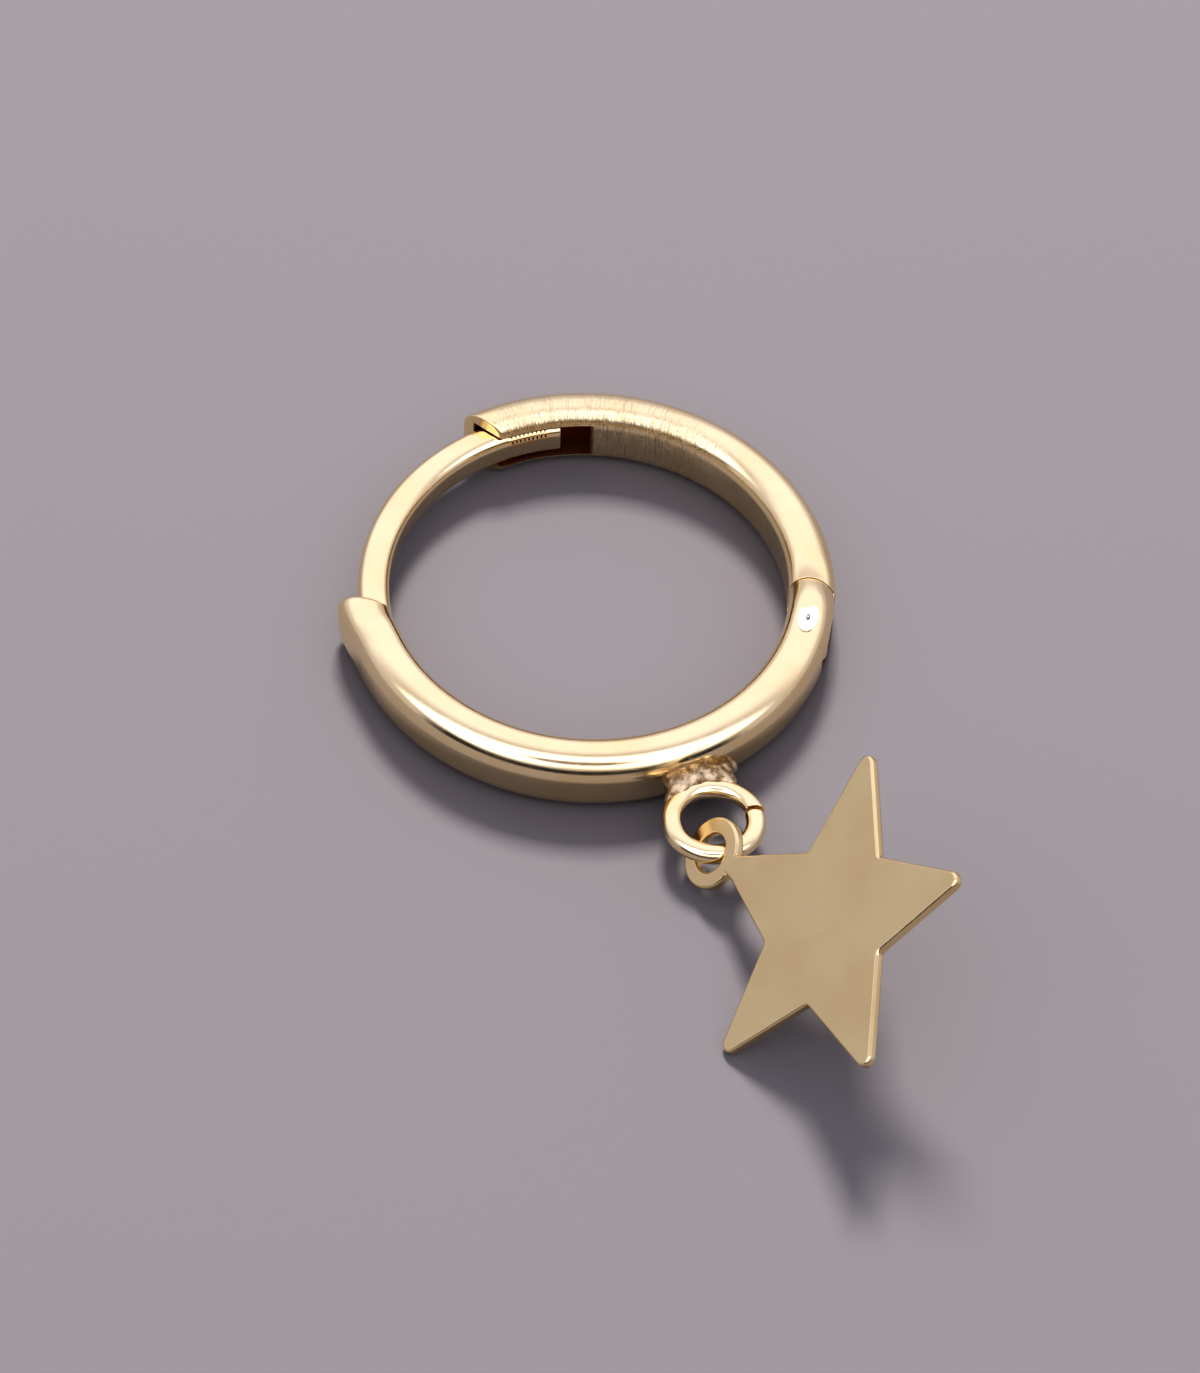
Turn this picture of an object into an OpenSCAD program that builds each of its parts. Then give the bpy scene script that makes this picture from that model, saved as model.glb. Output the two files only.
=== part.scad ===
/* [Hoop] */
// Outside diameter of the hoop
hoop_d = 12.5; // [12:0.1:13]
// Thickness of the hoop, from its inside to its outside
hoop_t = 1.18; // [1.18:0.02:1.26]
// Width of the hoop along its axis
hoop_w = 1.85; // [1.8:0.05:2]
// Rounding of the hoop's outer edges
outer_round = 0.58; // [0.5:0.02:0.58]
// Rounding of the hoop's inner edges
inner_round = 0.48; // [0.4:0.02:0.5]

/* [Front half] */
// Angle at which the front half ends, where the ear post leaves it
front_end = 190; // [186:1:194]
// Slant of that end against the radius
front_slant = 20; // [0:1:25]

/* [Ear post] */
// Thickness of the post along the radius
post_t = 0.8; // [0.7:0.02:0.82]
// Height of the post along the hoop's axis
post_h = 1; // [0.8:0.05:1.05]
// Rounding of the post's edges
post_round = 0.3; // [0.2:0.02:0.34]
// Angle at which the notched end of the post starts
notch_start = 116.5; // [114:0.5:118]
// Angle of the post's tip
post_tip = 100.5; // [98:0.5:102]
// How much thinner the notched end is
tip_step = 0.08; // [0.04:0.01:0.1]
// Number of notches
notches = 9; // [5:1:9]
// Depth of a notch
notch_depth = 0.05; // [0.02:0.01:0.06]
// Width of a notch
notch_w = 0.05; // [0.03:0.01:0.06]
// Angle from one notch to the next
notch_step = 1.25; // [1.1:0.05:1.3]

/* [Back arm] */
// Angle of the arm's tip
arm_tip = 121.5; // [119:0.5:123]
// Slant of the tip against the radius
arm_slant = 24; // [0:1:30]
// Angle at which the channel for the post ends
channel_end = 92; // [90:0.5:94]
// Clearance round the post in its channel
post_gap = 0.05; // [0.04:0.01:0.07]

/* [Hinge] */
// Angle at which the hinge pin stands
pin_angle = 348.5; // [345:0.5:352]
// Diameter of the pin
pin_d = 0.5; // [0.4:0.05:0.6]
// Radius of the two rounded cheeks, about the pin
cheek_r = 1.42; // [1.3:0.02:1.5]
// Height of the tongue between the cheeks
tongue_h = 0.75; // [0.6:0.05:0.8]
// Clearance at the faces of the hinge
hinge_gap = 0.04; // [0.03:0.01:0.06]

/* [Jump ring] */
// Outside diameter of the ring
ring_d = 2.6; // [2.4:0.05:2.7]
// Thickness of the ring's wire
ring_wire = 0.5; // [0.4:0.02:0.5]
// Angle at which the ring is soldered to the hoop
ring_angle = 296; // [290:0.1:300]
// Gap between the ring and the hoop, which the solder fills
ring_gap = 0.18; // [0.1:0.01:0.2]
// Height of the ring's middle above the hoop's underside
ring_level = 0.91; // [0.9:0.01:0.92]
// Lean of the ring, with its free side up
ring_lean = 3; // [2:1:5]
// Width of the cut where the ring was closed
ring_cut = 0.08; // [0.04:0.01:0.1]
// Direction of that cut, seen from the ring's middle
ring_cut_angle = 17; // [10:1:40]

/* [Star charm] */
// Radius of the star's points, if they were sharp
star_r = 4.55; // [4.4:0.01:4.6]
// Radius of the corners between the points
star_inner_r = 2.07; // [1.95:0.01:2.15]
// Thickness of the plate
star_t = 0.26; // [0.22:0.01:0.27]
// Rounding of the points
point_round = 0.24; // [0.15:0.01:0.27]
// Rounding of the corners between the points
corner_round = 0.15; // [0.1:0.01:0.25]
// Diameter of the eyelet
eye_d = 1.84; // [1.8:0.02:1.96]
// Diameter of the eyelet's hole
eye_hole_d = 0.98; // [0.97:0.01:1.04]
// Distance from the star's middle to the eyelet's
eye_reach = 4.87; // [4.8:0.01:4.95]
// Place of the eyelet on the ring, as a direction from the ring's middle
eye_at = 271.6; // [271:0.1:272.2]
// How far the eyelet's middle lies inside the ring's wire
eye_inset = 0.055; // [0.05:0.005:0.06]
// Direction that the leaning plate faces
star_heading = -76.2; // [-80:0.2:-72]
// Lean of the plate against the surface that it rests on
star_lean = 48.4; // [45:0.2:50]
// Turn of the star in its own plane
star_turn = 215.6; // [212:0.2:219]

/* [Hidden] */
$fn = 96;

// The hoop lies on its side: its axis is Z, and z = 0 is the surface below it
r_out = hoop_d / 2;
r_in = r_out - hoop_t;
r_mid = (r_out + r_in) / 2;
z_mid = hoop_w / 2;
post_mid = r_in + post_t / 2;

// Hinge: the tongue ends in a knuckle round the pin
knuckle_r = hoop_t / 2 - 0.02;
pin_fit = 0.01;
pin_running_fit = 0.03;
pin_recess = 0.02;
pin_proud = 0.03;
dome_r = 1;

// Jump ring and its solder
ring_mid_r = (ring_d - ring_wire) / 2;
ring_centre_r = r_out + ring_gap + ring_d / 2;
cut_turn = 2 * asin(ring_cut / 2 / ring_mid_r);

// Solder lumps: direction from the ring's middle, distance, height from the ring's, radius
SOLDER = [
    [150, 1.15, 0, 0.28],
    [132, 1.3, 0.1, 0.33],
    [112, 1.35, 0.14, 0.34],
    [92, 1.35, 0.12, 0.33],
    [77, 1.28, 0.05, 0.27],
    [86, 1.62, -0.05, 0.35],
    [108, 1.5, 0.08, 0.4],
    [130, 1.5, 0.06, 0.38],
    [146, 1.5, 0, 0.32],
    [80, 1.85, -0.12, 0.32],
];

// Star: half angles at its points and corners, and steps of their arcs
points = 5;
sector = 360 / points;
point_half = atan(star_inner_r * sin(sector / 2) / (star_r - star_inner_r * cos(sector / 2)));
corner_half = atan(star_r * sin(sector / 2) / (star_r * cos(sector / 2) - star_inner_r));
arc_steps = 8;
big = 4;

function polar(r, a) = [r * cos(a), r * sin(a)];

function arc_points(centre, r, from, to) =
    [for (i = [0 : arc_steps]) centre + polar(r, from + (to - from) * i / arc_steps)];

function point_arc(a) =
    arc_points(polar(star_r - point_round / sin(point_half), a), point_round,
        a - 90 + point_half, a + 90 - point_half);

function corner_arc(a) =
    arc_points(polar(star_inner_r + corner_round / sin(corner_half), a), corner_round,
        a + 270 - corner_half, a + 90 + corner_half);

star_outline = [
    for (k = [0 : points - 1])
        each concat(point_arc(k * sector), corner_arc((k + 0.5) * sector))
];

// Height of a point of the leaning plate above the eyelet's middle
function lean_height(p) =
    sin(star_lean) * (sin(star_turn) * (p.x - eye_reach) + cos(star_turn) * p.y);
star_low = min([for (p = star_outline) lean_height(p)]) - cos(star_lean) * star_t / 2;

// Rectangle with round corners, from x0 outwards: outer corners ro, inner corners ri
module round_section(x0, t, h, ro, ri) {
    x1 = x0 + t;
    translate([x1 - ro, h / 2 - ro]) circle(ro);
    translate([x1 - ro, ro - h / 2]) circle(ro);
    translate([x0 + ri, h / 2 - ri]) circle(ri);
    translate([x0 + ri, ri - h / 2]) circle(ri);
    polygon([
        [x0, ri - h / 2], [x0 + ri, -h / 2], [x1 - ro, -h / 2], [x1, ro - h / 2],
        [x1, h / 2 - ro], [x1 - ro, h / 2], [x0 + ri, h / 2], [x0, h / 2 - ri]
    ]);
}

// Sweeps its child round the hoop's axis between two angles
module sweep(from, to) {
    translate([0, 0, z_mid])
        rotate([0, 0, from])
            rotate_extrude(angle = to - from)
                children();
}

module hoop_arc(from, to) {
    sweep(from, to) round_section(r_in, hoop_t, hoop_w, outer_round, inner_round);
}

// Block past a cut across the hoop: side is 1 past the angle, -1 before it
module end_block(angle, slant, side) {
    rotate([0, 0, angle])
        translate([r_mid, 0, 0])
            rotate([0, 0, side * slant])
                translate([-big / 2, side > 0 ? 0 : -big, -1])
                    cube([big, big, hoop_w + 2]);
}

// Puts its children at the hinge pin, with X outwards and Y towards the arm
module at_pin() {
    rotate([0, 0, pin_angle]) translate([r_mid, 0, 0]) children();
}

module pin_bore(r) {
    at_pin() translate([0, 0, -1]) cylinder(r = r, h = hoop_w + 2);
}

// Front half of the hoop: its far end is a pair of cheeks, rounded about the pin
module front_arc() {
    difference() {
        hoop_arc(front_end - 8, pin_angle);
        end_block(front_end, front_slant, -1);
    }
    intersection() {
        hoop_arc(pin_angle - 4, pin_angle + 20);
        at_pin() cylinder(r = cheek_r, h = hoop_w);
    }
}

// Slot for the arm's tongue, open towards the arm and outwards
module hinge_slot() {
    slot_r = knuckle_r + hinge_gap;
    slot_h = tongue_h + 2 * hinge_gap;
    at_pin() translate([0, 0, z_mid - slot_h / 2]) {
        cylinder(r = slot_r, h = slot_h);
        translate([-1, 0, 0]) cube([big, big / 2, slot_h]);
        translate([0, -slot_r, 0]) cube([big, big / 2, slot_h]);
    }
}

// Curved ear post with a thinner, notched end that snaps into the arm
module ear_post() {
    tip_t = post_t - tip_step;
    tip_h = post_h - tip_step;
    sweep(notch_start, front_end + 4) round_section(r_in, post_t, post_h, post_round, post_round);
    difference() {
        sweep(post_tip, notch_start + 1)
            round_section(r_in, tip_t, tip_h, post_round, post_round);
        for (i = [0 : notches - 1])
            rotate([0, 0, notch_start - (i + 1) * notch_step])
                translate([r_in - 0.1, -notch_w / 2, z_mid + tip_h / 2 - notch_depth])
                    cube([hoop_t, notch_w, 0.2]);
    }
}

// Puts its children at the jump ring's middle, leaning as the ring does
module at_ring() {
    translate(polar(ring_centre_r, ring_angle))
        translate([0, 0, ring_level])
            rotate([-ring_lean, 0, 0])
                children();
}

module jump_ring() {
    at_ring()
        rotate([0, 0, ring_cut_angle + cut_turn / 2])
            rotate_extrude(angle = 360 - cut_turn)
                translate([ring_mid_r, 0]) circle(ring_wire / 2);
}

module solder() {
    at_ring()
        for (s = SOLDER)
            rotate([0, 0, s[0]]) translate([s[1], 0, s[2]]) sphere(s[3]);
}

module front_hoop() {
    color("#d8bd84") {
        difference() {
            union() {
                front_arc();
                difference() {
                    solder();
                    translate([0, 0, -1]) cylinder(r = r_out - 0.2, h = hoop_w + 2);
                }
            }
            hinge_slot();
            pin_bore(pin_d / 2 + pin_fit);
        }
        ear_post();
        jump_ring();
    }
}

// Back half of the hoop, which swings out about the pin
module back_arm() {
    channel_h = post_h + 2 * post_gap;
    color("#e3c88f")
        difference() {
            union() {
                difference() {
                    hoop_arc(pin_angle - 360, arm_tip + 8);
                    at_pin() translate([0, 0, -1]) cylinder(r = cheek_r + hinge_gap, h = hoop_w + 2);
                }
                intersection() {
                    hoop_arc(pin_angle, pin_angle + 22);
                    translate([0, 0, z_mid - tongue_h / 2])
                        cylinder(r = r_out + 1, h = tongue_h);
                }
                at_pin() translate([0, 0, z_mid - tongue_h / 2])
                    cylinder(r = knuckle_r, h = tongue_h);
            }
            end_block(arm_tip, arm_slant, 1);
            sweep(channel_end, arm_tip + 12)
                translate([r_in - 1, -channel_h / 2])
                    square([1 + post_t + post_gap, channel_h]);
            pin_bore(pin_d / 2 + pin_running_fit);
        }
}

// Headed pin: a shallow dome above, sunk a little below
module hinge_pin() {
    top = hoop_w + pin_proud;
    color("#f2e3b6")
        at_pin()
            intersection() {
                translate([0, 0, pin_recess]) cylinder(r = pin_d / 2, h = top - pin_recess);
                translate([0, 0, top - dome_r]) union() {
                    sphere(dome_r);
                    translate([0, 0, -big]) cylinder(r = dome_r, h = big);
                }
            }
}

// Flat star whose top point is an eyelet on the jump ring. It leans, with one point on the surface
module star_charm() {
    eye = polar(ring_mid_r - eye_inset, eye_at);
    at = polar(ring_centre_r, ring_angle) + [eye.x, eye.y * cos(ring_lean)];
    color("#c9b083")
        translate([at.x, at.y, -star_low])
            rotate([0, 0, star_heading])
                rotate([star_lean, 0, 0])
                    rotate([0, 0, star_turn])
                        linear_extrude(star_t, center = true)
                            difference() {
                                union() {
                                    translate([-eye_reach, 0]) polygon(star_outline);
                                    circle(eye_d / 2);
                                }
                                circle(eye_hole_d / 2);
                            }
}

front_hoop();
back_arm();
hinge_pin();
star_charm();
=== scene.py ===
import math

import bmesh
import bpy
from mathutils import Matrix, Vector


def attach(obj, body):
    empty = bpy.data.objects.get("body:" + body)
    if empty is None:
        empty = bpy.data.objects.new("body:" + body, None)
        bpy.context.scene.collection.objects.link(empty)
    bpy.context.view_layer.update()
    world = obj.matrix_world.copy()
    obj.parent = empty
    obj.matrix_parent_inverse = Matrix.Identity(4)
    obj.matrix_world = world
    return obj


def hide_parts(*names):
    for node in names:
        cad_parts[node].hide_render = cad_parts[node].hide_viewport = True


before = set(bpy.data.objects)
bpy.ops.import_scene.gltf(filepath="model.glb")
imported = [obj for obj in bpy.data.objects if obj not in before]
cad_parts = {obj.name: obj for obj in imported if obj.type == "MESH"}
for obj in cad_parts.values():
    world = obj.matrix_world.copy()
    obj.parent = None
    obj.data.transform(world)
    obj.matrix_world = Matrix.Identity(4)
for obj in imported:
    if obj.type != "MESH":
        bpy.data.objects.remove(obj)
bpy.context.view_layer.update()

mm = 0.001  # pieces are modelled in millimetres, and finishPiece makes them metres

hoop = {
    "outerR": 6.25,
    "innerR": 5.07,
    "middleR": 5.66,
    "thick": 1.18,
    "width": 1.85,
    "middleZ": 0.925,
    "outerRound": 0.64,
    "innerRound": 0.5,
    "roundSteps": 12,
}

hinge = {
    "angle": 348.5,
    "cheekR": 1.42,  # the front half's end, measured from the pin
    "gapR": 1.432,  # the arm's end, measured from the pin
    "tongueHigh": 0.75,
    "knuckleR": 0.57,
    "gap": 0.04,
    "slotLong": 4,  # the slot's tool, outwards from the pin and along the hoop
    "slotDeep": 2,
    "slotFlare": 0.4,
    "endRings": 3,
    "endRingStep": 0.11,
    "lip": 0.14,
    "lipReach": 0.75,
    "lipAbove": 1.5,  # only the upper side falls
}


def takeUp(piece):
    # makes this the one object that operators act on
    bpy.ops.object.select_all(action="DESELECT")
    piece.select_set(True)
    bpy.context.view_layer.objects.active = piece


def openMesh(piece):
    takeUp(piece)
    bpy.ops.object.mode_set(mode="EDIT")


def closeMesh():
    bpy.ops.object.mode_set(mode="OBJECT")


def settle(piece):
    # puts the object's place, turn and size into its mesh
    takeUp(piece)
    bpy.ops.object.transform_apply(location=True, rotation=True, scale=True)


def turn(piece, degrees):
    piece.rotation_euler.z = math.radians(degrees)
    settle(piece)


def pick(kind, test):
    # selects the vertices, edges or faces whose middle (and, for a face, normal) pass the test
    bpy.ops.mesh.select_mode(type=kind)
    bpy.ops.mesh.select_all(action="DESELECT")
    mesh = bmesh.from_edit_mesh(bpy.context.edit_object.data)
    if kind == "VERT":
        for vert in mesh.verts:
            vert.select_set(test(vert.co))
    elif kind == "EDGE":
        for edge in mesh.edges:
            edge.select_set(test(edge, (edge.verts[0].co + edge.verts[1].co) / 2))
    else:
        for face in mesh.faces:
            face.select_set(test(face.calc_center_median(), face.normal))
    mesh.select_flush_mode()
    bmesh.update_edit_mesh(bpy.context.edit_object.data)


def isSharp(edge, degrees=40):
    return len(edge.link_faces) == 2 and edge.calc_face_angle() > math.radians(degrees)


def angleOf(place):
    return math.degrees(math.atan2(place.y, place.x)) % 360


def polar(radius, degrees):
    return Vector((radius * math.cos(math.radians(degrees)), radius * math.sin(math.radians(degrees)), 0))


def sweep(degrees, steps=1):
    # carries the selected end round the hoop's axis; with no window a negative angle turns left
    bpy.ops.mesh.spin(steps=steps, angle=-math.radians(degrees), center=(0, 0, 0), axis=(0, 0, 1))


def sweepOn(at, sweeps):
    # carries the end on from one ring angle to the next, and gives back the last
    for reached, steps in sweeps:
        sweep(reached - at, steps)
        at = reached
    return at


def pull(value, reach, falloff="SMOOTH", **settings):
    # moves what is selected, and what lies within reach of it less and less
    bpy.ops.transform.translate(
        value=value, use_proportional_edit=True, proportional_edit_falloff=falloff,
        proportional_size=reach, **settings,
    )


def modify(piece, kind, **settings):
    takeUp(piece)
    modifier = piece.modifiers.new(kind.title(), kind)
    for name, value in settings.items():
        setattr(modifier, name, value)
    bpy.ops.object.modifier_apply(modifier=modifier.name)


def faceOut(piece):
    openMesh(piece)
    bpy.ops.mesh.select_all(action="SELECT")
    bpy.ops.mesh.remove_doubles(threshold=0.0004)
    bpy.ops.mesh.normals_make_consistent(inside=False)
    closeMesh()


def carve(piece, tool, operation="DIFFERENCE"):
    faceOut(piece)
    faceOut(tool)
    modify(piece, "BOOLEAN", object=tool, operation=operation, solver="EXACT")
    bpy.data.objects.remove(tool)


def standPlate(middleR, thick, high):
    # a plate across the hoop, standing on the X axis
    bpy.ops.mesh.primitive_plane_add(
        size=1, location=(middleR, 0, hoop["middleZ"]), rotation=(math.radians(90), 0, 0)
    )
    plate = bpy.context.object
    plate.scale = (thick, high, 1)
    settle(plate)
    return plate


def startSweep(piece, at):
    # turns the section to the angle it is swept from, and selects it
    turn(piece, at)
    openMesh(piece)
    bpy.ops.mesh.select_all(action="SELECT")


def addSection(name, middleR, thick, high, outerRound, innerRound):
    # a rounded rectangle, with a round of its own on the outer and the inner side
    piece = standPlate(middleR, thick, high)
    piece.name = name
    openMesh(piece)
    for side, radius in ((1, outerRound), (-1, innerRound)):
        pick("VERT", lambda place: (place.x - middleR) * side > thick * 0.49)
        bpy.ops.mesh.bevel(offset=radius, segments=hoop["roundSteps"], affect="VERTICES", profile=0.5)
    closeMesh()
    return piece


def addHoopSection(name):
    return addSection(
        name, hoop["middleR"], hoop["thick"], hoop["width"], hoop["outerRound"], hoop["innerRound"]
    )


def slantRing(piece, at, slant):
    # leans the ring of points at one angle, and widens it so that the section stays the same
    turn(piece, -at)
    openMesh(piece)
    middle = (hoop["middleR"], 0, hoop["middleZ"])
    pick("VERT", lambda place: place.x > 0 and abs(place.y) < 0.02)
    bpy.ops.transform.resize(value=(1 / math.cos(math.radians(slant)), 1, 1), center_override=middle)
    bpy.ops.transform.rotate(value=-math.radians(slant), orient_axis="Z", center_override=middle)
    closeMesh()
    turn(piece, at)


def fitEnd(piece, at, radius):
    # lays the end at one angle on a cylinder about the hinge pin
    turn(piece, -at)
    openMesh(piece)
    pick("FACE", lambda place, normal: place.x > 0 and abs(place.y) < 0.01 and abs(normal.y) > 0.99)
    for step in range(hinge["endRings"]):
        bpy.ops.mesh.inset(thickness=hinge["endRingStep"])
    bpy.ops.mesh.poke()
    pick("VERT", lambda place: place.x > 0 and abs(place.y) < 0.01)
    bpy.ops.object.vertex_group_assign_new()
    closeMesh()
    pinPlace = polar(hoop["middleR"], hinge["angle"] - at)
    bpy.ops.mesh.primitive_cylinder_add(vertices=720, radius=radius, depth=4, location=pinPlace)
    drum = bpy.context.object
    modify(
        piece, "SHRINKWRAP", target=drum, wrap_method="PROJECT", use_project_y=True,
        use_positive_direction=True, use_negative_direction=True, vertex_group=piece.vertex_groups[0].name,
    )
    bpy.data.objects.remove(drum)
    piece.vertex_groups.clear()
    turn(piece, at)


def dropLip(piece, reach):
    # both halves fall a little to the joint, this far from the pin
    at = polar(hoop["middleR"], hinge["angle"])
    openMesh(piece)
    pick(
        "VERT", lambda place: place.z > hinge["lipAbove"] and place.y > 0
        and abs((place.xy - at.xy).length - reach) < 0.05,
    )
    pull((0, 0, -hinge["lip"]), hinge["lipReach"], "SHARP")
    closeMesh()


def softenSharp(piece, near, width, steps=4):
    # rounds the sharp edges whose middle passes the test
    openMesh(piece)
    pick("EDGE", lambda edge, place: isSharp(edge) and near(place))
    bpy.ops.mesh.bevel(offset=width, segments=steps, affect="EDGES", profile=0.5)
    closeMesh()


def softenBetween(piece, span, width, steps):
    softenSharp(piece, lambda place: span[0] <= angleOf(place) < span[1], width, steps)


def finishPiece(piece, body, node, slotName, smooth=35, metal=None):
    faceOut(piece)
    takeUp(piece)
    bpy.ops.object.shade_smooth_by_angle(angle=math.radians(smooth))
    modify(piece, "WEIGHTED_NORMAL", mode="FACE_AREA", weight=50, keep_sharp=True)
    piece.scale = (mm, mm, mm)
    settle(piece)
    piece.data.materials.clear()
    piece.data.materials.append(bpy.data.materials[metal or golds[slotName]["material"]])
    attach(piece, body)
    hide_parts(node)
    print(piece.name, "done,", len(piece.data.polygons), "faces")


view = {
    "elevation": 51.5,
    "roll": 3.1,
    "distance": 150,  # mm from the hoop's middle
    "pixelsPerMm": 39.35,
    "hoopAt": (588.8, 593.7),
    "picture": (1200, 1373),
    "sensor": 24,
}


def addCamera():
    # aimed past the hoop's middle, so that the hoop falls on its place in the picture
    lean = math.radians(view["elevation"])
    roll = math.radians(view["roll"])
    forward = Vector((0, math.cos(lean), -math.sin(lean)))
    flatUp = Vector((0, math.sin(lean), math.cos(lean)))
    right = Vector((math.cos(roll), 0, 0)) + flatUp * math.sin(roll)
    up = flatUp * math.cos(roll) - Vector((math.sin(roll), 0, 0))
    focal = view["pixelsPerMm"] * view["distance"]
    aside = view["picture"][0] / 2 - view["hoopAt"][0]
    below = view["picture"][1] / 2 - view["hoopAt"][1]
    aim = (forward * focal + right * aside - up * below).normalized()
    side = (right - aim * right.dot(aim)).normalized()
    place = Vector((0, 0, hoop["middleZ"])) - forward * view["distance"]
    data = bpy.data.cameras.new("camera")
    data.sensor_fit = "VERTICAL"
    data.sensor_height = view["sensor"]
    data.lens = focal * view["sensor"] / view["picture"][1]
    data.clip_start = 0.001
    data.clip_end = 10
    camera = bpy.data.objects.new("camera", data)
    bpy.context.scene.collection.objects.link(camera)
    axes = Matrix((side, side.cross(aim), aim * -1)).transposed()
    camera.matrix_world = Matrix.Translation(place * mm) @ axes.to_4x4()
    bpy.context.scene.camera = camera


lightTent = {
    "keyAt": (-0.02, 0.4, 0.48),  # metres
    "keySize": 0.15,
    "keyGlow": 82,
    "keyTint": (1, 0.98, 0.95),
    # each zone is a pair: where it begins, and where it is full
    "wall": 0.48,  # brightness of the tent's walls near the floor
    "farSide": 0.4,  # added behind the hoop
    "farZone": (-0.1, 0.35),
    "farHigh": (0.1, 0.45),
    "roof": 0.9,  # added above the near side
    "roofZone": (0.06, 0.2),
    "roofEnd": (0.78, 0.95),
    "roofHigh": (0.3, 0.5),
    "lens": 0.85,  # share taken away where the camera looks in
    "lensZone": (0.1, 0.17),
    "lensAcross": 0.45,
    "nearFloor": 0.93,  # share taken away low down on the near side
    "nearZone": (0.35, 0.55),
    "nearHigh": (0.22, 0.42),
    "tint": (1, 1, 1.14, 1),
    "contrast": "High Contrast",
}

surroundings = {
    "floorTone": (0.131, 0.12, 0.123, 1),
    "floorRough": 0.8,
    "floorSize": 1.6,  # metres
}


def addKeyLight():
    data = bpy.data.lights.new("keyLight", "AREA")
    data.shape = "SQUARE"
    data.size = lightTent["keySize"]
    data.energy = 4 * data.size * data.size * lightTent["keyGlow"]
    data.color = lightTent["keyTint"]
    lamp = bpy.data.objects.new("keyLight", data)
    bpy.context.scene.collection.objects.link(lamp)
    lamp.visible_glossy = False  # it only casts the shadows: no streak of it on the gold
    lamp.location = lightTent["keyAt"]
    lamp.rotation_euler = Vector(lightTent["keyAt"]).to_track_quat("Z", "Y").to_euler()
    bpy.context.scene.view_settings.view_transform = "Standard"
    bpy.context.scene.view_settings.look = lightTent["contrast"]


class Wire:
    # one socket of a node tree; a sum written with it adds Math nodes
    def __init__(self, tree, socket=None):
        self.tree = tree
        self.socket = socket

    def add(self, kind, settings=None, sockets=None, out=0):
        node = self.tree.nodes.new("ShaderNode" + kind)
        for name, value in (settings or {}).items():
            setattr(node, name, value)
        for name, value in (sockets or {}).items():
            if isinstance(value, Wire):
                self.tree.links.new(value.socket, node.inputs[name])
            else:
                node.inputs[name].default_value = value
        return Wire(self.tree, node.outputs[out] if node.outputs else None)

    def sum(self, operation, *values):
        return self.add("Math", {"operation": operation}, dict(enumerate(values)))

    def __add__(self, other):
        return self.sum("ADD", self, other)

    def __radd__(self, other):
        return self.sum("ADD", other, self)

    def __sub__(self, other):
        return self.sum("SUBTRACT", self, other)

    def __rsub__(self, other):
        return self.sum("SUBTRACT", other, self)

    def __mul__(self, other):
        return self.sum("MULTIPLY", self, other)

    def __rmul__(self, other):
        return self.sum("MULTIPLY", other, self)

    def __truediv__(self, other):
        return self.sum("DIVIDE", self, other)

    def between(self, low, high):
        # 0 below low, 1 above high, smooth between them
        return self.add(
            "MapRange", {"interpolation_type": "SMOOTHSTEP"},
            {"Value": self, "From Min": low, "From Max": high, "To Min": 0.0, "To Max": 1.0},
        )

    def root(self, *others):
        # the length of the step whose parts are these sockets
        total = self * self
        for other in others:
            total = total + other * other
        return total.sum("SQRT", total)

    def split(self):
        parts = self.add("SeparateXYZ", {}, {0: self})
        return [Wire(self.tree, parts.socket.node.outputs[axis]) for axis in "XYZ"]

    def noise(self, scale, detail, rough=0.5):
        return self.add(
            "TexNoise", {}, {"Vector": self, "Scale": scale, "Detail": detail, "Roughness": rough}
        )

    def mixed(self, first, second):
        # this socket is the share of the second colour
        return self.add("Mix", {"data_type": "RGBA"}, {0: self, 6: first, 7: second}, out=2)


def startMaterial(name):
    material = bpy.data.materials.new(name)
    material.use_nodes = True
    tree = material.node_tree
    tree.nodes.clear()
    return Wire(tree)


def closeMaterial(wire, sockets):
    wire.add("OutputMaterial", {}, {"Surface": wire.add("BsdfPrincipled", {}, sockets)})


def addTent():
    # a pale tent all round: brighter behind and above, dim where the camera looks in
    world = bpy.data.worlds.new("tent")
    world.use_nodes = True
    world.node_tree.nodes.clear()
    wire = Wire(world.node_tree)
    x, y, z = wire.add("TexCoord", out="Generated").split()
    near = y * -1.0
    far = y.between(*lightTent["farZone"]) * z.between(*lightTent["farHigh"])
    roof = near.between(*lightTent["roofZone"]) * (1 - near.between(*lightTent["roofEnd"]))
    roof = roof * z.between(*lightTent["roofHigh"])
    lean = math.radians(view["elevation"])
    away = near - math.cos(lean)
    above = z - math.sin(lean)
    apart = (x * lightTent["lensAcross"]).root(away, above)
    lens = 1 - apart.between(*lightTent["lensZone"])
    low = near.between(*lightTent["nearZone"]) * (1 - z.between(*lightTent["nearHigh"]))
    glow = far * lightTent["farSide"] + lightTent["wall"] + roof * lightTent["roof"]
    glow = glow * (1 - lens * lightTent["lens"]) * (1 - low * lightTent["nearFloor"])
    light = wire.add("Background", {}, {"Color": lightTent["tint"], "Strength": glow})
    wire.add("OutputWorld", {}, {"Surface": light})
    bpy.context.scene.world = world


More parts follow.
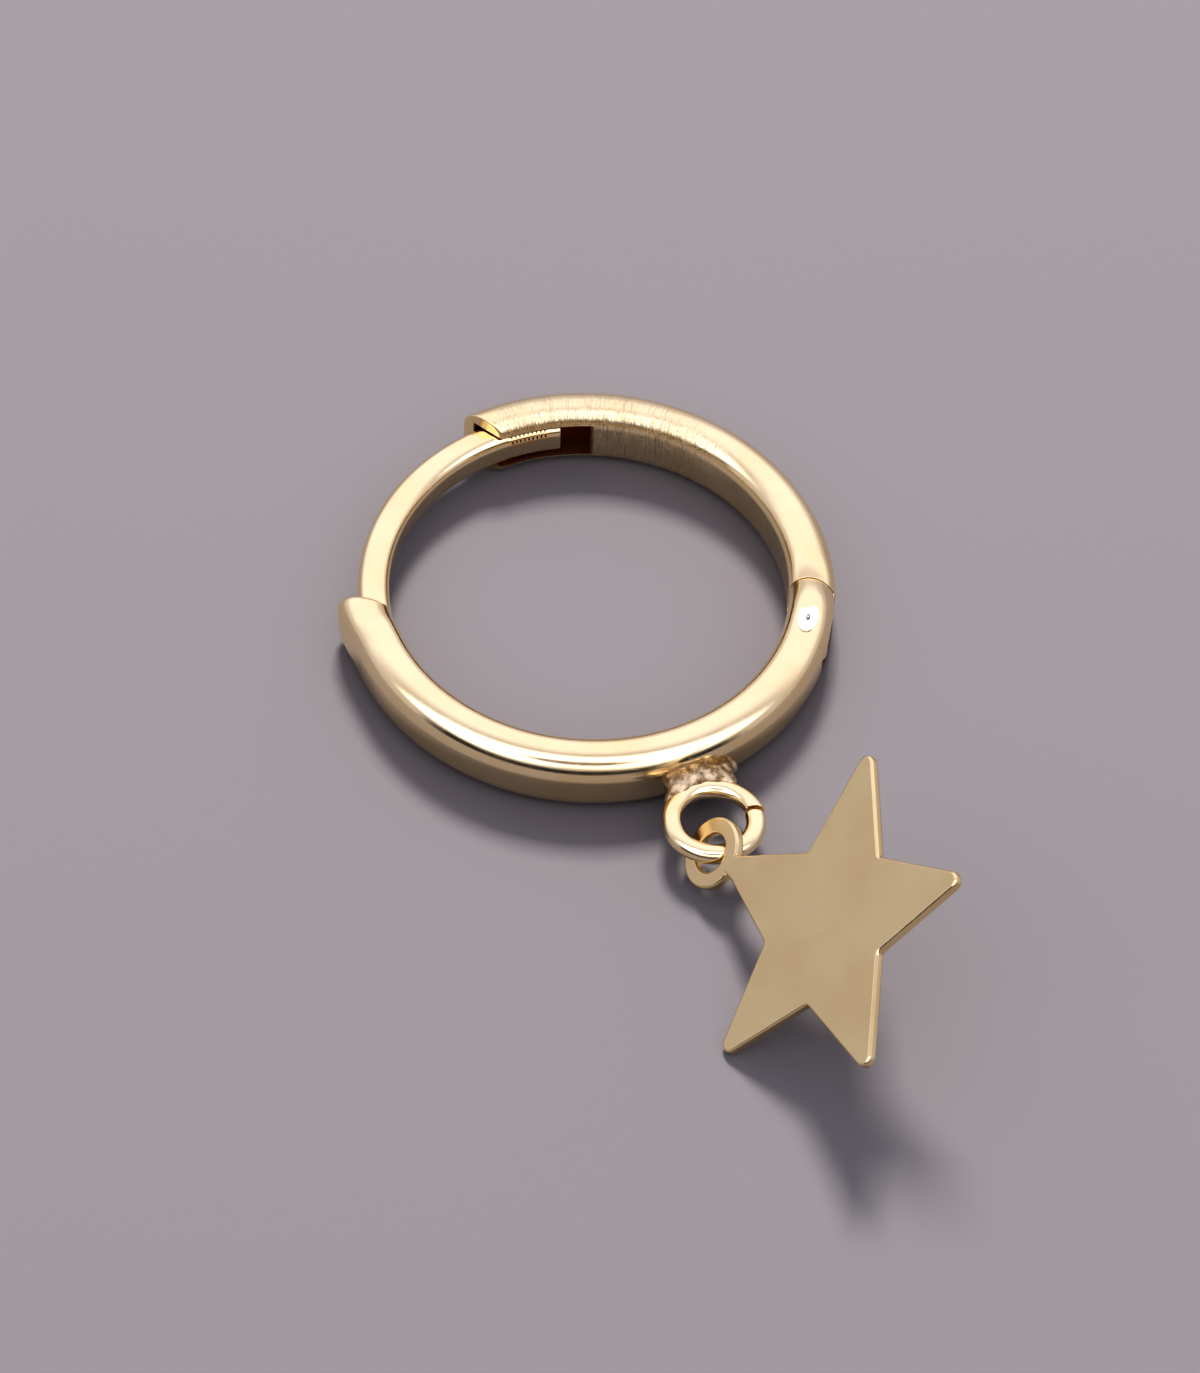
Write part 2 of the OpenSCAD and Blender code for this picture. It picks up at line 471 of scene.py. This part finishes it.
golds = {
    "front_gold": {
        "material": "frontMetal",
        # the third colour is painted shade, put inside the hinge slot
        "light": (0.94, 0.77, 0.5, 1), "deep": (0.91, 0.72, 0.43, 1), "paintedShade": (0.13, 0.065, 0.03, 1),
        "rough": 0.12, "roughSwing": 0.08, "scratch": 0.0002, "grain": 0.00014, "grainScale": 22,
    },
    "arm_gold": {
        "material": "armMetal",
        # the third colour is painted shade, put in the post's channel
        "light": (0.94, 0.77, 0.5, 1), "deep": (0.91, 0.72, 0.43, 1), "paintedShade": (0.3, 0.12, 0.04, 1),
        "rough": 0.14, "roughSwing": 0.1, "scratch": 0.0003, "grain": 0.0002, "grainScale": 22,
    },
    "pin_gold": {
        "material": "pinMetalPaintedHighlight",
        # the pale bluish first two colours are a painted highlight on the pin head, and the third colour
        # is painted shade in its dimple
        "light": (0.88, 0.93, 0.95, 1), "deep": (0.82, 0.87, 0.88, 1), "paintedShade": (0.06, 0.12, 0.14, 1),
        "rough": 0.1, "roughSwing": 0.05, "scratch": 0.0002, "grain": 0.0001, "grainScale": 30,
    },
    "star_gold": {
        "material": "starMetal",
        # set darker than the hoop's gold, as painted shade for the dimmer light the plate reflects
        "light": (0.825, 0.655, 0.385, 1), "deep": (0.785, 0.605, 0.335, 1),
        "rough": 0.17, "roughSwing": 0.06, "scratch": 0.00006, "grain": 0.0003, "grainScale": 16,
    },
}

polish = {
    # scale, detail and roughness of each noise, then the span of it that shows
    "cloud": (0.55, 3.0), "cloudShows": (0.35, 0.7),
    "smudge": (2.3, 4.0, 0.6), "smudgeShows": (0.3, 0.75),
    "grain": (3.0, 0.6),  # its scale is the metal's own
    "wipe": (1.0, 2.0, 0.55), "wipeShows": (0.56, 0.72),
    "wipeTurn": (0.3, 0.2, 0.7), "wipeNarrow": (1.2, 26.0, 14.0), "wipeRough": 0.05,
    "recessRough": 0.25,
}

# zones of painted shade: inside the hinge slot, and in the post's channel
slotShade = {"along": (-0.618, -0.612), "reach": (1.3, 1.35), "aside": (0.416, 0.42)}

channelShade = {"angle": (1.58, 1.6), "radius": (5.93, 5.96), "aside": (0.552, 0.56)}  # radians, mm

brush = {
    "height": 0.06,
    "rough": 0.06,
    "strokes": (1.0, 2.0, 0.7),
    "perRadian": 95.0,
    "perMm": 0.9,
    "starts": (0.75, 1.3),  # radians
    "stops": (2.0, 2.12),
    "outer": (5.5, 5.9),  # mm from the hoop's axis
}

solderLook = {
    "light": (0.66, 0.53, 0.36, 1), "deep": (0.28, 0.19, 0.1, 1), "blotchShows": (0.38, 0.64),
    "blotch": (4.5, 3.0, 0.6), "grain": (11.0, 3.0, 0.6), "blotchHigh": 0.03, "grainHigh": 0.008,
    "rough": 0.36, "roughSwing": 0.15, "roughShows": (0.4, 0.7),
}


def placeInMm(wire):
    place = wire.add("TexCoord", out="Object")
    return place.add("VectorMath", {"operation": "SCALE"}, {0: place, "Scale": 1 / mm})


def makeGold(name):
    look = golds[name]
    wire = startMaterial(look["material"])
    inMm = placeInMm(wire)
    cloud = inMm.noise(*polish["cloud"])
    smudge = inMm.noise(*polish["smudge"])
    grain = inMm.noise(look["grainScale"], *polish["grain"])
    # fine wipe marks, long one way and narrow the other
    longWay = inMm.add(
        "Mapping", {}, {"Vector": inMm, "Rotation": polish["wipeTurn"], "Scale": polish["wipeNarrow"]}
    )
    marks = longWay.noise(*polish["wipe"]).between(*polish["wipeShows"])
    height = marks * -look["scratch"] + grain * look["grain"]
    rough = smudge.between(*polish["smudgeShows"]) * look["roughSwing"] + look["rough"]
    rough = rough + marks * polish["wipeRough"]
    paintedShade = None
    if name != "star_gold":
        x, y, z = inMm.split()
        aside = z.sum("ABSOLUTE", z - hoop["middleZ"])
        at = polar(1, hinge["angle"])
        outward = x * at.x + y * at.y - hoop["middleR"]
        along = y * at.x - x * at.y
    if name == "front_gold":
        # painted shade inside the hinge slot, which is also left rougher
        paintedShade = along.between(*slotShade["along"])
        paintedShade = paintedShade * (1 - outward.root(along).between(*slotShade["reach"]))
        paintedShade = paintedShade * (1 - aside.between(*slotShade["aside"]))
    if name == "arm_gold":
        # brush marks across the arm's inner shoulder near its tip
        angle = x.sum("ARCTAN2", y, x)
        radius = x.root(y)
        across = wire.add("CombineXYZ", {}, {
            "X": angle * brush["perRadian"], "Y": radius * brush["perMm"], "Z": z * brush["perMm"],
        })
        strokes = across.noise(*brush["strokes"])
        zone = angle.between(*brush["starts"]) * (1 - angle.between(*brush["stops"]))
        zone = zone * (1 - radius.between(*brush["outer"]))
        height = height + strokes * zone * brush["height"]
        rough = rough + zone * brush["rough"]
        # painted shade in the post's channel, which is also left rougher
        paintedShade = angle.between(*channelShade["angle"])
        paintedShade = paintedShade * (1 - radius.between(*channelShade["radius"]))
        paintedShade = paintedShade * (1 - aside.between(*channelShade["aside"]))
    if name == "pin_gold":
        # painted shade inside the dimple
        paintedShade = 1 - outward.root(along / pin["spread"]).between(*pin["shade"])
    bump = wire.add("Bump", {}, {"Height": height, "Distance": 0.001, "Strength": 1.0})
    colour = cloud.between(*polish["cloudShows"]).mixed(look["light"], look["deep"])
    # painted shade is mixed into the colour where its mask falls, and the roughness is raised there
    if paintedShade:
        colour = paintedShade.mixed(colour, look["paintedShade"])
        rough = rough + paintedShade * polish["recessRough"]
    closeMaterial(wire, {"Base Color": colour, "Metallic": 1.0, "Roughness": rough, "Normal": bump})


def makeSolderMetal():
    # matte and blotchy, as flame leaves it
    wire = startMaterial("solderMetal")
    inMm = placeInMm(wire)
    blotch = inMm.noise(*solderLook["blotch"])
    grain = inMm.noise(*solderLook["grain"])
    height = grain * solderLook["grainHigh"] + blotch * solderLook["blotchHigh"]
    bump = wire.add("Bump", {}, {"Height": height, "Distance": 0.001, "Strength": 1.0})
    colour = blotch.between(*solderLook["blotchShows"]).mixed(solderLook["light"], solderLook["deep"])
    rough = blotch.between(*solderLook["roughShows"]) * solderLook["roughSwing"] + solderLook["rough"]
    closeMaterial(wire, {"Base Color": colour, "Metallic": 1.0, "Roughness": rough, "Normal": bump})


def addFloor():
    bpy.ops.mesh.primitive_plane_add(size=surroundings["floorSize"])
    floor = bpy.context.object
    floor.name = "floor"
    wire = startMaterial("paleFloor")
    closeMaterial(wire, {"Base Color": surroundings["floorTone"], "Roughness": surroundings["floorRough"]})
    floor.data.materials.append(bpy.data.materials["paleFloor"])


front = {
    "end": 190,
    "slants": ((195, 5), (192.5, 12), (190, 20)),  # ring angle and lean
    "sweeps": ((197.5, 3), (358, 160), (362.2, 3)),  # ring angle reached, and steps
    "shoulderSpan": (185, 197),
    "shoulderRound": 0.24,
    "shoulderFrom": 5.9,
    "shoulderOut": 0.17,
    "shoulderOutReach": 1.5,
    "shoulderAbove": 1.6,
    "shoulderDip": 0.1,
    "shoulderDipReach": 0.9,
    "cheekSpan": (0, 30),
    "cheekRound": 0.02,
    "humpAt": 353.6,
    "humpHigh": 0.05,
    "humpReach": 0.85,
    "cheekDrop": 0.02,
}


def makeFrontHalf():
    piece = addHoopSection("frontHoop")
    startSweep(piece, front["end"])
    end = sweepOn(front["end"], front["sweeps"])
    closeMesh()
    for at, slant in front["slants"]:
        slantRing(piece, at, -slant)
    fitEnd(piece, end, hinge["cheekR"])
    softenBetween(piece, front["shoulderSpan"], front["shoulderRound"], 6)
    softenBetween(piece, front["cheekSpan"], front["cheekRound"], 3)
    shapeShoulder(piece)
    shapeHump(piece, end)
    cutHingeSlot(piece)
    finishPiece(piece, "front", "front_hoop", "front_gold")


def shapeShoulder(piece):
    # the end stands out a little and its upper side falls towards the post
    openMesh(piece)
    pick(
        "VERT", lambda place: place.xy.length > front["shoulderFrom"]
        and abs(angleOf(place) - front["end"]) < 3,
    )
    pull(polar(front["shoulderOut"], front["end"]), front["shoulderOutReach"])
    pick(
        "VERT", lambda place: place.z > front["shoulderAbove"]
        and abs(angleOf(place) - front["end"]) < 1.5,
    )
    pull((0, 0, -front["shoulderDip"]), front["shoulderDipReach"])
    closeMesh()


def shapeHump(piece, end):
    # the cheek rises a little past the pin, then falls to the joint
    top = hoop["width"] - 0.01
    openMesh(piece)
    pick("VERT", lambda place: place.z > top and abs(angleOf(place) - front["humpAt"]) < 0.6)
    pull((0, 0, front["humpHigh"]), front["humpReach"])
    pick("VERT", lambda place: place.z > hinge["lipAbove"] and abs(angleOf(place) - (end - 360)) < 2.2)
    pull((0, 0, -front["cheekDrop"]), front["humpReach"])
    closeMesh()
    dropLip(piece, hinge["cheekR"])


def cutHingeSlot(piece):
    # a plate with one round corner about the pin, as thick as the slot
    slotR = hinge["knuckleR"] + hinge["gap"]
    slotHigh = hinge["tongueHigh"] + 2 * hinge["gap"]
    slotLow = hoop["middleZ"] - slotHigh / 2
    outward = hinge["slotLong"]
    along = hinge["slotDeep"]
    bpy.ops.mesh.primitive_plane_add(
        size=1, location=((outward - slotR) / 2, (along - slotR) / 2, slotLow)
    )
    tool = bpy.context.object
    tool.scale = (outward + slotR, along + slotR, 1)
    settle(tool)
    openMesh(tool)
    pick("VERT", lambda place: place.x < 0 and place.y < 0)
    bpy.ops.mesh.bevel(offset=slotR, segments=24, affect="VERTICES", profile=0.5)
    pick("VERT", lambda place: place.x < 0 and place.y > 1)
    bpy.ops.transform.translate(value=(-hinge["slotFlare"], 0, 0))
    bpy.ops.mesh.select_all(action="SELECT")
    bpy.ops.mesh.extrude_region_move(TRANSFORM_OT_translate={"value": (0, 0, slotHigh)})
    closeMesh()
    tool.location = polar(hoop["middleR"], hinge["angle"])
    turn(tool, hinge["angle"])
    carve(piece, tool)


arm = {
    "start": 2.8,
    "tip": 121.5,
    "slants": ((116.5, 6), (119, 14), (121.5, 24)),  # ring angle and lean
    "sweeps": ((6, 3), (92, 86), (114, 22), (121.5, 3)),  # ring angle reached, and steps
    "channelEnd": 92,
    "channelPast": 6,  # past the tip
    "channelSteps": 36,
    "channelDeep": 0.85,
    "channelHigh": 1.1,
    "tipSpan": (115, 130),
    "tipRound": 0.05,
    "hingeSpan": (0, 6),
    "hingeRound": 0.02,
    "tongueThick": 1.11,
    "tongueEnd": 16,
    "bore": 0.28,
}


def makeBackArm():
    piece = addHoopSection("backArm")
    startSweep(piece, arm["start"])
    sweepOn(arm["start"], arm["sweeps"])
    closeMesh()
    for at, slant in arm["slants"]:
        slantRing(piece, at, slant)
    fitEnd(piece, arm["start"], hinge["gapR"])
    softenBetween(piece, arm["tipSpan"], arm["tipRound"], 3)
    softenBetween(piece, arm["hingeSpan"], arm["hingeRound"], 4)
    dropLip(piece, hinge["gapR"])
    sinkChannel(piece)
    carve(piece, makeTongue(), "UNION")
    finishPiece(piece, "arm", "back_arm", "arm_gold")


def sinkChannel(piece):
    # the inner side near the tip is cut out for the post, and is left open at the tip
    thick = 1.2  # more than the channel is deep
    tool = standPlate(hoop["innerR"] + arm["channelDeep"] - thick / 2, thick, arm["channelHigh"])
    startSweep(tool, arm["channelEnd"])
    sweep(arm["tip"] + arm["channelPast"] - arm["channelEnd"], arm["channelSteps"])
    closeMesh()
    carve(piece, tool)


def makeTongue():
    tongue = standPlate(hoop["middleR"], arm["tongueThick"], hinge["tongueHigh"])
    startSweep(tongue, 0)
    sweep(arm["tongueEnd"], arm["tongueEnd"])
    closeMesh()
    turn(tongue, hinge["angle"])
    pinPlace = polar(hoop["middleR"], hinge["angle"]) + Vector((0, 0, hoop["middleZ"]))
    knuckle = ((hinge["knuckleR"], hinge["tongueHigh"], "UNION"), (arm["bore"], 2, "DIFFERENCE"))
    for radius, high, operation in knuckle:
        bpy.ops.mesh.primitive_cylinder_add(vertices=72, radius=radius, depth=high, location=pinPlace)
        carve(tongue, bpy.context.object, operation)
    return tongue


post = {
    "root": 194,
    "rootSteps": 78,
    "thick": 0.8,
    "high": 1,
    "round": 0.3,
    "thinFrom": 116.5,
    "thinner": 0.04,
    "notches": 9,
    "firstRidge": 0.985,  # ridges and notches in degrees
    "ridge": 0.72,
    "notch": 0.53,
    "notchDeep": 0.13,
    "notchAside": 0.078,
    "notchHeading": 110.5,
    "tip": 100.5,
    "tipSteps": 5,
    "tipRound": 0.06,
}


def makeEarPost():
    piece = addSection(
        "earPost", hoop["innerR"] + post["thick"] / 2, post["thick"], post["high"],
        post["round"], post["round"],
    )
    # the snap end is a little thinner, and its ridges and notches are swept one by one
    startSweep(piece, post["root"])
    sweep(post["thinFrom"] - post["root"], post["rootSteps"])
    pick("FACE", lambda place, normal: abs(angleOf(place) - post["thinFrom"]) < 0.05)
    bpy.ops.mesh.inset(thickness=post["thinner"])
    bpy.ops.transform.translate(value=polar(-post["thinner"], post["thinFrom"]))
    at = post["thinFrom"]
    grooves = []
    for index in range(post["notches"]):
        ridge = post["ridge"] if index else post["firstRidge"]
        sweep(-ridge)
        sweep(-post["notch"])
        grooves.append(at - ridge - post["notch"] / 2)
        at -= ridge + post["notch"]
    sweep(post["tip"] - at, post["tipSteps"])
    # the notches are sunk from the upper side and the upper part of the inner side
    pick(
        "FACE", lambda place, normal: (normal.z > 0.3 or (place.z > 1 and normal.dot(place) < 0))
        and any(abs(angleOf(place) - groove) < 0.1 for groove in grooves),
    )
    inward = polar(post["notchAside"], post["notchHeading"])
    bpy.ops.mesh.extrude_region_move(
        TRANSFORM_OT_translate={"value": (inward.x, inward.y, -post["notchDeep"])}
    )
    closeMesh()
    softenSharp(piece, lambda place: angleOf(place) < post["tip"] + 0.1, post["tipRound"], 4)
    finishPiece(piece, "front", "front_hoop", "front_gold")


ring = {
    "middleR": 1.05,
    "wireR": 0.25,
    "sides": 36,
    "steps": 140,
    "angle": 296,
    "gap": 0.18,
    "level": 0.91,
    "lean": 3,
    "cut": 0.06,
    "cutAt": 17,
    "cutTilt": 14,
    "slip": (0.01, 0.02, 0.05),
    "slipReach": 0.8,
    "cutRound": 0.03,
}

# from the hoop's middle to the ring's
ringOut = hoop["outerR"] + ring["gap"] + ring["middleR"] + ring["wireR"]

solder = {
    # direction from the ring's middle, distance, height and radius of each lump
    "lumps": (
        (150, 1.15, 0, 0.28), (132, 1.3, 0.1, 0.33), (112, 1.35, 0.14, 0.34), (92, 1.35, 0.12, 0.33),
        (77, 1.28, 0.05, 0.27), (86, 1.62, -0.05, 0.35), (108, 1.5, 0.08, 0.4), (130, 1.5, 0.06, 0.38),
        (80, 1.9, -0.14, 0.25),
    ),
    "voxel": 0.03,
    "smoothing": 70,
    "uneven": 0.03,
    "lumpSize": 0.5,
}


def placeAtRing(piece):
    piece.rotation_euler.x = -math.radians(ring["lean"])
    piece.location = polar(ringOut, ring["angle"]) + Vector((0, 0, ring["level"]))
    settle(piece)


def makeJumpRing():
    bpy.ops.mesh.primitive_circle_add(
        vertices=ring["sides"], radius=ring["wireR"], fill_type="NGON",
        location=(ring["middleR"], 0, 0), rotation=(math.radians(90), 0, 0),
    )
    piece = bpy.context.object
    piece.name = "jumpRing"
    settle(piece)
    cutTurn = math.degrees(ring["cut"] / ring["middleR"])
    first = ring["cutAt"] + cutTurn / 2
    startSweep(piece, first)
    sweep(360 - cutTurn, ring["steps"])
    # both ends at the cut are tilted, and the first has slipped a little out of line
    for end in (first, ring["cutAt"] - cutTurn / 2):
        pick("VERT", lambda place: abs(angleOf(place) - end) < 0.2)
        bpy.ops.transform.rotate(
            value=math.radians(ring["cutTilt"]), orient_axis="Z",
            center_override=polar(ring["middleR"], end),
        )
    middle = polar(ring["middleR"], first)
    acrossCut = polar(1, first + 90 - ring["cutTilt"])
    pick("VERT", lambda place: abs((place - middle).dot(acrossCut)) < 0.01)
    pull(ring["slip"], ring["slipReach"], use_proportional_connected=True)
    closeMesh()
    softenSharp(piece, lambda place: True, ring["cutRound"], 3)
    placeAtRing(piece)
    finishPiece(piece, "front", "front_hoop", "front_gold")


def makeSolder():
    # lumps joined under one skin, which is then smoothed and made uneven
    lumps = []
    for direction, reach, level, radius in solder["lumps"]:
        bpy.ops.mesh.primitive_ico_sphere_add(
            subdivisions=4, radius=radius, location=polar(reach, direction) + Vector((0, 0, level))
        )
        lumps.append(bpy.context.object)
    for lump in lumps:
        lump.select_set(True)
    bpy.ops.object.join()
    piece = bpy.context.object
    piece.name = "solder"
    settle(piece)
    modify(piece, "REMESH", mode="VOXEL", voxel_size=solder["voxel"])
    modify(piece, "SMOOTH", factor=0.5, iterations=solder["smoothing"])
    clouds = bpy.data.textures.new("solderLumps", "CLOUDS")
    clouds.noise_scale = solder["lumpSize"]
    modify(piece, "DISPLACE", texture=clouds, strength=solder["uneven"], mid_level=0.5)
    placeAtRing(piece)
    finishPiece(piece, "front", "front_hoop", "front_gold", smooth=80, metal="solderMetal")


pin = {
    "radius": 0.25,
    "low": 0.02,
    "high": 1.862,
    "brim": 0.06,
    "rings": 7,
    "ringStep": 0.032,
    "dome": 0.04,
    "spread": 1.8,  # how far the hammered head is drawn out along the hoop
    "dimpleRings": (0.07, 0.04),  # what is nearer the axis sinks, once for each
    "dimple": 0.02,
    "shade": (0.035, 0.055),  # painted shade nearer the axis than this
}


def makeHingePin():
    # the head is domed, given a dimple, and drawn out along the hoop
    at = polar(hoop["middleR"], hinge["angle"])
    shaftTop = pin["high"] - pin["brim"]
    bpy.ops.mesh.primitive_cylinder_add(
        vertices=72, radius=pin["radius"], depth=shaftTop - pin["low"],
        location=at + Vector((0, 0, (shaftTop + pin["low"]) / 2)),
    )
    piece = bpy.context.object
    piece.name = "hingePin"
    settle(piece)
    openMesh(piece)
    pick("FACE", lambda place, normal: normal.z > 0.9)
    bpy.ops.mesh.extrude_region_move(TRANSFORM_OT_translate={"value": (0, 0, pin["brim"])})
    for step in range(pin["rings"]):
        bpy.ops.mesh.inset(thickness=pin["ringStep"])
    bpy.ops.mesh.poke()
    headLow = pin["high"] - 0.01
    pick("VERT", lambda place: place.z > headLow and (place.xy - at.xy).length < 0.02)
    pull((0, 0, pin["dome"]), pin["radius"] + 0.01, "SPHERE")
    for reach in pin["dimpleRings"]:
        pick("VERT", lambda place: place.z > headLow and (place.xy - at.xy).length < reach)
        bpy.ops.transform.translate(value=(0, 0, -pin["dimple"]))
    closeMesh()
    turn(piece, -hinge["angle"])
    openMesh(piece)
    pick("VERT", lambda place: place.z > headLow)
    middle = (hoop["middleR"], 0, pin["high"])
    bpy.ops.transform.resize(value=(1, pin["spread"], 1), center_override=middle)
    closeMesh()
    turn(piece, hinge["angle"])
    finishPiece(piece, "front", "hinge_pin", "pin_gold", smooth=50)


star = {
    "pointR": 4.55,
    "cornerR": 2.07,
    "thick": 0.26,
    "pointRound": 0.568,  # reach along the edges
    "pointBulge": 0.409,
    "cornerRound": 0.0905,
    "cornerBulge": 0.533,
    "neckRound": 0.14,
    "edgeRound": 0.07,
    "eyeR": 0.92,
    "holeR": 0.49,
    "eyeReach": 4.87,
    "eyeAt": 271.6,
    "eyeInset": 0.055,
    "heading": -76.2,
    "lean": 48.4,
    "turn": 215.6,
}


def makeStar():
    bpy.ops.mesh.primitive_circle_add(vertices=10, radius=star["pointR"], fill_type="NGON")
    piece = bpy.context.object
    piece.name = "starCharm"
    turn(piece, -angleOf(piece.data.vertices[0].co))
    openMesh(piece)
    # every second corner of the ten is drawn in
    shrink = star["cornerR"] / star["pointR"]
    pick("VERT", lambda place: round(angleOf(place) / 36) % 2 == 1)
    bpy.ops.transform.resize(value=(shrink, shrink, 1), center_override=(0, 0, 0))
    # the point that ends in the eyelet stays sharp
    pick("VERT", lambda place: place.length > star["cornerR"] + 1 and place.x < star["pointR"] - 0.1)
    bpy.ops.mesh.bevel(
        offset=star["pointRound"], segments=10, affect="VERTICES", profile=star["pointBulge"]
    )
    pick("VERT", lambda place: place.length < star["cornerR"] + 0.05)
    bpy.ops.mesh.bevel(
        offset=star["cornerRound"], segments=5, affect="VERTICES", profile=star["cornerBulge"]
    )
    bpy.ops.mesh.select_all(action="SELECT")
    bpy.ops.mesh.extrude_region_move(TRANSFORM_OT_translate={"value": (0, 0, star["thick"])})
    closeMesh()
    piece.location = (-star["eyeReach"], 0, -star["thick"] / 2)
    settle(piece)
    eyelet = ((star["eyeR"], star["thick"], "UNION"), (star["holeR"], 2, "DIFFERENCE"))
    for radius, high, operation in eyelet:
        bpy.ops.mesh.primitive_cylinder_add(vertices=96, radius=radius, depth=high)
        carve(piece, bpy.context.object, operation)
    openMesh(piece)
    bpy.ops.mesh.select_all(action="SELECT")
    bpy.ops.mesh.dissolve_limited(angle_limit=math.radians(0.5))
    # the inner corners where the eyelet meets the point are filled
    eyeEdge = star["eyeR"] + 0.01
    pick(
        "EDGE", lambda edge, place: isSharp(edge, 25) and abs(place.z) < 0.01
        and place.length < eyeEdge and place.x < -0.5 and edge.calc_face_angle_signed() < 0,
    )
    bpy.ops.mesh.bevel(offset=star["neckRound"], segments=6, affect="EDGES", profile=0.5)
    closeMesh()
    softenSharp(piece, lambda place: abs(place.z) > star["thick"] * 0.49, star["edgeRound"], 4)
    layStar(piece)
    finishPiece(piece, "front", "star_charm", "star_gold", smooth=40)


def layStar(piece):
    # leans the plate in the ring, then lowers it until its lowest point is on the surface
    eye = polar(ring["middleR"] - star["eyeInset"], star["eyeAt"])
    at = polar(ringOut, ring["angle"]) + Vector((eye.x, eye.y * math.cos(math.radians(ring["lean"])), 0))
    turns = (Matrix.Rotation(math.radians(star["heading"]), 4, "Z")
             @ Matrix.Rotation(math.radians(star["lean"]), 4, "X")
             @ Matrix.Rotation(math.radians(star["turn"]), 4, "Z"))
    piece.matrix_world = Matrix.Translation(at) @ turns
    settle(piece)
    piece.location.z = -min(vert.co.z for vert in piece.data.vertices)
    settle(piece)


addCamera()
addKeyLight()
addTent()
addFloor()
for goldName in golds:
    makeGold(goldName)
makeSolderMetal()
print("camera, light, floor and materials ready")
makeFrontHalf()
makeEarPost()
makeJumpRing()
makeSolder()
makeBackArm()
makeHingePin()
makeStar()
